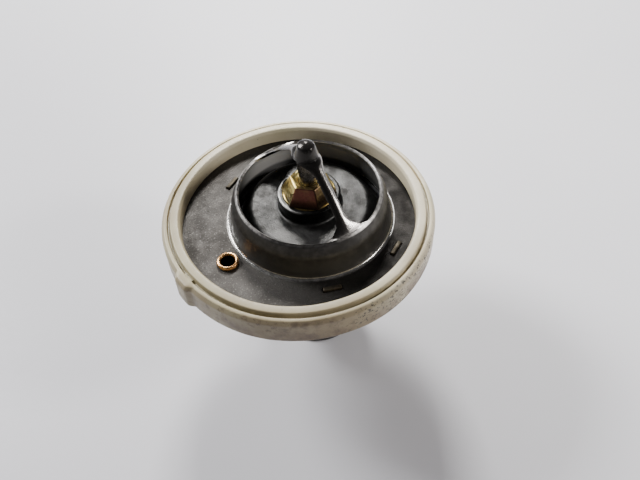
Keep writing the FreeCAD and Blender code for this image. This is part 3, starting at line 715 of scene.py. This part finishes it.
TAB_ANGLES = [LEG_ANGLE + side * TAB_HALF_ANGLE + half
              for half in (0.0, math.pi) for side in (1, -1)]
SLOT_DEPTH, SLOT_WIDTH = 1.3, 4.2
TAB_WIDTH, TAB_LOW, TAB_HIGH = 3.9, -1.6, 0.5
HOLE_R = 2.05
CUT_LOW, CUT_HIGH = -3.0, 2.0
RIM_SHARE = 0.55

bridge = new_piece("flange_bridge", *bridge_surface())
if any(face.normal.z < -0.2 for face in bridge.data.polygons):
    bridge.data.flip_normals()
sheet = thicken(bridge)
# The sheet thins from its full thickness at the collar's foot to a share of it at the rim.
thick = bridge.vertex_groups.new(name="thick")
for vertex in bridge.data.vertices:
    height = vertex.co.z / MM - FLANGE_Z
    thick.add([vertex.index], 1 - smooth_step(1.0, 7.0, height), "REPLACE")
sheet.vertex_group = thick.name
sheet.thickness_vertex_group = RIM_SHARE
cutters = [box_piece(f"slot_{index}", around(VALVE_AXIS, angle, TAB_R), angle, SLOT_DEPTH,
                     SLOT_WIDTH, CUT_LOW, CUT_HIGH) for index, angle in enumerate(TAB_ANGLES)]
cutters.append(new_piece("jiggle_hole", *lathe_points(
    [(0.0, CUT_LOW), (HOLE_R, CUT_LOW), (HOLE_R, CUT_HIGH), (0.0, CUT_HIGH)], JIGGLE_AXIS, 48)))
for cutter in cutters:
    hole = bridge.modifiers.new("hole", "BOOLEAN")
    hole.operation = "DIFFERENCE"
    hole.object = cutter
    hole.solver = "EXACT"
soften(bridge, 0.24, angle=50.0)
bake(bridge, *cutters)
finish_piece(bridge, "frame", "stainless", ["flange_bridge"])

# --- lower frame --------------------------------------------------------------------------------
FOOT_Z = -24.6
PLATE_R = 13.1
LEG_R = 21.5
LEG_TOP_HALF_W = 10.75
LEG_STEPS = 34
LEG_HALF = STEP * LEG_STEPS


def cage_surface():
    """Outer surface of the lower frame: a bottom ring and two broad legs."""
    points, faces = [], []

    def local(angle, r, z):
        return around(VALVE_AXIS, angle + LEG_ANGLE, r, z)

    rows = [ring_of(points, lambda angle: local(angle, r, FOOT_Z))
            for r in (8.1, 9.3, 10.6, 11.9, PLATE_R)]
    for inner, outer in zip(rows, rows[1:]):
        faces += strip_faces(inner, outer, True)
    side = rounded([(PLATE_R, FOOT_Z), (13.9, FOOT_Z, 0.8), (LEG_R, -10.4, 4.0), (LEG_R, -1.02)],
                   False, 8)
    dense = [side[0]]
    for (r0, z0), (r1, z1) in zip(side, side[1:]):
        pieces = max(1, int(math.hypot(r1 - r0, z1 - z0) / 0.8))
        for piece in range(1, pieces + 1):
            dense.append((r0 + (r1 - r0) * piece / pieces, z0 + (z1 - z0) * piece / pieces))
    width = PLATE_R * math.sin(LEG_HALF)
    columns = range(-LEG_STEPS, LEG_STEPS + 1)
    for half in (0, STEPS_ROUND // 2):
        previous = [rows[-1][(half + step) % STEPS_ROUND] for step in columns]
        for r, z in dense[1:]:
            waist = width - 1.6 * smooth_step(-24.0, -20.0, z) * smooth_step(-5.0, -12.0, z)
            waist += (LEG_TOP_HALF_W - width) * smooth_step(-8.0, -4.0, z)
            line = []
            for step in columns:
                across = math.sin(step * STEP) / math.sin(LEG_HALF) * waist
                angle = math.asin(max(-1.0, min(1.0, across / r))) + half * STEP
                line.append(len(points))
                points.append(local(angle, r, z))
            faces += strip_faces(previous, line)
            previous = line
    return points, faces


cage = new_piece("lower_frame", *cage_surface())
lowest = min(cage.data.polygons, key=lambda face: face.center.z)
if lowest.normal.z > 0:
    cage.data.flip_normals()
thicken(cage)
soften(cage, 0.16, angle=50.0)
bake(cage)
finish_piece(cage, "frame", "frame_steel", ["lower_frame"])

for index, angle in enumerate(TAB_ANGLES):
    tab = box_piece(f"frame_tab_{index + 1}", around(VALVE_AXIS, angle, TAB_R), angle, SHEET,
                    TAB_WIDTH, TAB_LOW, TAB_HIGH)
    soften(tab, 0.22, 4)
    bake(tab)
    finish_piece(tab, "frame", "tab_steel")

# --- main valve and seal ------------------------------------------------------------------------
lathe("main_valve", "element", "valve_steel", [
    (5.72, 7.5, 0.15), (6.8, 7.5, 0.35), (6.8, 4.2, 0.6), (13.15, 4.2, 1.6), (16.9, -1.9, 0.6),
    (18.5, -1.9, 0.2), (18.5, -2.7, 0.2), (16.4, -2.7, 0.9), (12.75, 3.4, 0.9), (5.72, 3.4, 0.1)],
    steps=240, arc_steps=6)
lathe("valve_seal", "element", "black_rubber", [
    (16.95, -1.88), (18.4, -1.88, 0.1), (18.4, -1.2, 0.25), (17.3, -1.2, 0.2), (16.95, -1.7, 0.1)],
    steps=200)

# --- wax element --------------------------------------------------------------------------------
lathe("piston_guide", "element", "brass", [
    (2.15, 7.6), (5.55, 7.6, 0.1), (5.68, 7.45, 0.1), (5.68, 3.3), (5.2, 3.3), (5.2, 2.6),
    (5.68, 2.6), (5.68, -4.4), (7.3, -4.4), (7.3, -6.0), (3.4, -6.0), (3.4, 2.4), (2.15, 2.4)],
    steps=144)


NOSE_TOP_R = 3.98


def nose_warp(angle, r, z):
    """Six flat sides where the radius is that of a corner; round at the top and down the bore."""
    side = math.pi / 3
    if r >= NOSE_TOP_R:
        off_corner = abs((angle - NOSE_TURN + side / 2) % side - side / 2)
        r *= math.cos(side / 2) / math.cos(side / 2 - off_corner)
    return r, z


nose = new_piece("guide_nose", *lathe_points(
    [(6.13, 7.52), (6.13, NOSE_FOOT), (NOSE_TOP_R, 11.55), (2.85, 11.6), (2.5, 11.35),
     (2.15, 11.1), (2.15, 7.52)], VALVE_AXIS, 72, nose_warp))
soften(nose, 0.22, angle=35.0)
bake(nose)
finish_piece(nose, "element", "brass")
lathe("piston", "frame", "piston_steel", [
    (0.0, -13.6), (1.1, -13.6, 0.3), (2.1, -12.0, 0.4), (2.1, 18.6, 0.3), (0.0, 18.6)],
    steps=96)
lathe("wax_case", "element", "case_copper", [
    (0.0, -27.0), (6.7, -27.0, 0.5), (7.5, -26.2, 0.6), (7.5, -8.2, 0.4), (8.2, -7.5, 0.4),
    (8.2, -4.1, 0.4), (7.7, -3.6, 0.3), (6.2, -3.6, 0.15), (6.2, -4.4), (7.3, -4.4), (7.3, -7.0),
    (6.7, -7.0), (6.7, -26.2), (0.0, -26.2)])

# --- bypass valve -------------------------------------------------------------------------------
lathe("bypass_stem", "element", "brass", [
    (0.0, -26.98), (4.0, -26.98), (4.0, -27.6, 0.15), (2.4, -27.6), (2.4, -33.2), (1.9, -33.2),
    (1.9, -33.8), (2.4, -33.8), (2.4, -34.6, 0.2), (2.0, -34.9, 0.15), (0.0, -34.9)],
    steps=96)
lathe("spring_plate", "element", "plate_steel", [
    (2.42, -27.62), (6.6, -27.62, 0.3), (6.6, -28.7, 0.12), (6.0, -28.7, 0.12), (6.0, -28.2, 0.2),
    (2.42, -28.2)], steps=120)
lathe("bypass_disc", "bypass_valve", "plate_steel", [
    (2.45, -33.1), (6.0, -33.1, 0.9), (8.2, -36.0, 0.7), (10.8, -36.0, 0.2), (10.8, -35.3, 0.2),
    (8.5, -35.3, 0.7), (6.3, -32.4, 0.9), (3.2, -32.4, 0.25), (3.2, -31.9, 0.12), (2.45, -31.9)])


def split_ring(name, inner, outer, low, high, gap):
    """Open retaining ring with its gap on the +X side."""
    outline = rounded([(inner, low), (outer, low, 0.12), (outer, high, 0.12), (inner, high)],
                      True, 3)
    steps = 90
    half = math.asin(gap / 2 / outer)
    points = []
    for step in range(steps + 1):
        angle = half + (2 * math.pi - 2 * half) * step / steps
        points += [around(VALVE_AXIS, angle, r, z) for r, z in outline]
    ring = new_piece(name, points, tube_faces(steps + 1, len(outline)))
    finish_piece(ring, "element", "spring_steel", [name])


split_ring("valve_snap_ring", 5.25, 7.2, 2.62, 3.28, 4.0)
split_ring("bypass_clip", 1.95, 4.0, -33.78, -33.22, 3.8)

# --- jiggle pin ---------------------------------------------------------------------------------
lathe("jiggle_pin", "jiggle", "copper", [
    (0.0, -3.7), (2.7, -3.7, 0.3), (3.0, -3.4, 0.3), (3.0, -2.4, 0.25), (1.9, -2.4, 0.1),
    (1.9, 0.05, 0.15), (2.28, 0.08, 0.2), (2.44, 0.45, 0.3), (2.2, 0.92, 0.3), (1.85, 1.0, 0.2),
    (1.56, 0.75, 0.3), (1.5, 0.3, 0.3), (1.5, -2.4), (0.0, -2.4)], JIGGLE_AXIS, 96)


# --- springs ------------------------------------------------------------------------------------
STEPS_PER_TURN = 40
WIRE_SIDES = 14


def coil(name, body, wire_r, coil_r, turns, low, high, start=0.0):
    """Coil spring with closed ends ground flat."""
    end_pitch = 2 * wire_r * 1.03
    free_pitch = (high - low - 2 * wire_r - 2 * end_pitch) / (turns - 2)
    steps, sides = int(turns * STEPS_PER_TURN), WIRE_SIDES
    points = []
    for step in range(steps + 1):
        turn = turns * step / steps
        closed = min(turn, 1.0) + max(turn - (turns - 1.0), 0.0)
        height = low + wire_r + end_pitch * closed + free_pitch * (turn - closed)
        for side in range(sides):
            bend = 2 * math.pi * side / sides
            z = height + wire_r * math.sin(bend)
            points.append(around(VALVE_AXIS, 2 * math.pi * turn + start,
                                 coil_r + wire_r * math.cos(bend), min(high, max(low, z))))
    spring = new_piece(name, points, tube_faces(steps + 1, sides))
    finish_piece(spring, body, "spring_steel", [name], 60.0)
    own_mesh(spring)


coil("main_spring", "frame", 0.95, 10.6, 6.5, -23.58, 3.38, 0.6)
coil("bypass_spring", "element", 0.3, 5.0, 3.5, -32.38, -28.22)

# --- pieces sealed inside the element keep their CAD shape ---------------------------------------
for node, material in (("wax_charge", "wax"), ("rubber_sleeve", "black_rubber"),
                       ("guide_seal", "black_rubber"), ("backup_washer", "ptfe")):
    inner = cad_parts[node]
    inner.data.materials.clear()
    inner.data.materials.append(MATERIALS[material])

# --- table, light and camera --------------------------------------------------------------------
bpy.ops.mesh.primitive_plane_add(size=3.0, location=(0, 0, 0))
table = bpy.context.object
table.name = "table_top"
table.data.materials.append(floor_material())


def lamp_at(name, azimuth, elevation, distance, size, power, color):
    """Square lamp, in metres and watts, aimed at the flange from a direction in degrees."""
    turn, rise = math.radians(azimuth), math.radians(elevation)
    toward = Vector((math.cos(rise) * math.cos(turn), math.cos(rise) * math.sin(turn),
                     math.sin(rise)))
    data = bpy.data.lights.new(name, "AREA")
    data.size = size
    data.energy = power
    data.color = color
    lamp = bpy.data.objects.new(name, data)
    lamp.location = toward * distance + Vector((0.0, 0.0, FLANGE_Z * MM))
    lamp.rotation_euler = (-toward).to_track_quat("-Z", "Y").to_euler()
    bpy.context.scene.collection.objects.link(lamp)


lamp_at("window_right", -13.0, 29.0, 0.70, 0.12, 3.4, (1.0, 0.98, 0.97))
lamp_at("window_back", 90.0, 40.0, 0.62, 0.13, 5.4, (1.0, 1.0, 1.0))
lamp_at("window_left", 144.0, 36.0, 0.80, 0.24, 9.6, (0.97, 0.98, 1.0))

world = bpy.data.worlds.new("room")
world.use_nodes = True
sky = world.node_tree
direction = sky.nodes.new("ShaderNodeTexCoord").outputs["Generated"]
parts = sky.nodes.new("ShaderNodeSeparateXYZ")
sky.links.new(direction, parts.inputs[0])


def sky_step(value, low, high, out_low, out_high):
    """Smooth step of one part of the direction."""
    made = sky.nodes.new("ShaderNodeMapRange")
    made.interpolation_type = "SMOOTHSTEP"
    made.inputs["From Min"].default_value = low
    made.inputs["From Max"].default_value = high
    made.inputs["To Min"].default_value = out_low
    made.inputs["To Max"].default_value = out_high
    sky.links.new(value, made.inputs["Value"])
    return made.outputs["Result"]


shade = sky.nodes.new("ShaderNodeMath")
shade.operation = "MULTIPLY"
sky.links.new(sky_step(parts.outputs["Z"], 0.15, 0.75, 0.46, 0.12), shade.inputs[0])
sky.links.new(sky_step(parts.outputs["Y"], -0.75, -0.1, 0.42, 1.0), shade.inputs[1])
sky.nodes["Background"].inputs["Color"].default_value = (0.97, 0.95, 1.0, 1.0)
sky.links.new(shade.outputs[0], sky.nodes["Background"].inputs["Strength"])
bpy.context.scene.world = world

# The camera stands in front of the part and looks down at it by 47.5 degrees, with the part
# left of the picture's centre and above it, and the picture turned by 4.9 degrees. The aim is
# the slope at which the part lies to the right of the picture's centre, and below it.
ELEVATION, DISTANCE, ROLL = math.radians(47.52), 153.65, math.radians(-4.92)
AIM_RIGHT, AIM_DOWN = -0.0316714, -0.0445429
back = Vector((0.0, -math.cos(ELEVATION), math.sin(ELEVATION)))
right = Vector((1.0, 0.0, 0.0))
up = Vector((0.0, math.sin(ELEVATION), math.cos(ELEVATION)))
turned = Matrix.Rotation(ROLL, 3, "Z") @ Matrix((right, -up, -back))
aim = Vector((AIM_RIGHT, AIM_DOWN, 1.0))
seen = Vector((0.0, 0.0, 1.0)).rotation_difference(aim).to_matrix() @ turned
lens = bpy.data.cameras.new("camera")
lens.lens = 39.375
lens.sensor_width = 36.0
lens.clip_start = 0.01
camera = bpy.data.objects.new("camera", lens)
stand = Matrix((seen[0], -seen[1], -seen[2])).transposed().to_4x4()
stand.translation = (back * DISTANCE + Vector((0.0, 0.0, FLANGE_Z + 3.0))) * MM
camera.matrix_world = stand
bpy.context.scene.collection.objects.link(camera)
bpy.context.scene.camera = camera
